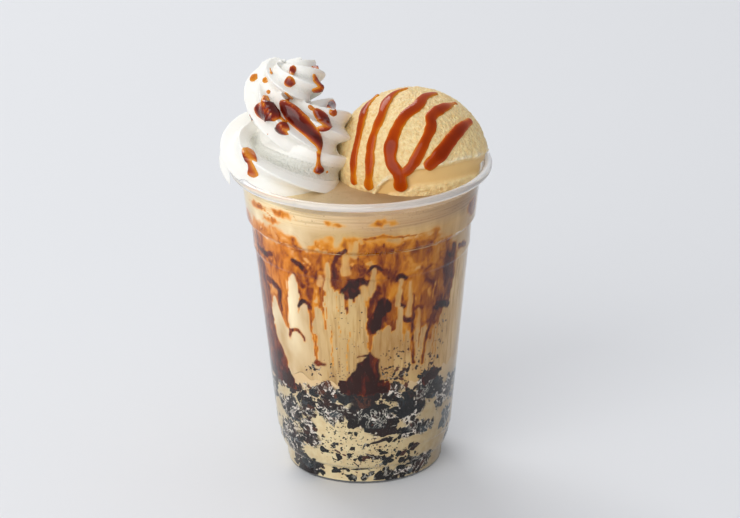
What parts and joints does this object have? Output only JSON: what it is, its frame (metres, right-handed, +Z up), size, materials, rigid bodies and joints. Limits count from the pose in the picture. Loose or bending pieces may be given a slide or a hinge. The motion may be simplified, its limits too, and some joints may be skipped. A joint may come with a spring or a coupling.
{
  "type": "coffee jelly in a takeaway cup",
  "caption": "Clear flared takeaway cup of milk coffee over crushed coffee jelly, with a piped cream swirl, an ice cream scoop and caramel sauce on top.",
  "frame": {"origin": "middle of the cup's flat underside, on the cup's axis, at table height", "axes": "+Z up along the cup's axis; -Y towards the pictured front; the cream swirl lies towards -X and the scoop towards +X"},
  "size_m": [0.1018, 0.098, 0.1604],
  "materials": {
    "clear_cup": "clear glossy moulded plastic",
    "crushed_jelly": "wet translucent jelly, near black, with milk between the pieces",
    "milk_coffee": "opaque milk coffee with caramel run down the wall",
    "vanilla_ice_cream": "icy grain, with glossy caramel lines",
    "whipped_cream": "smooth piped cream, with glossy caramel"
  },
  "bodies": {
    "root": {"cup": "clear_cup", "coffee_jelly": "crushed_jelly", "milk_coffee": "milk_coffee", "ice_cream_scoop": "vanilla_ice_cream", "whipped_cream": "whipped_cream"}
  },
  "joints": []
}
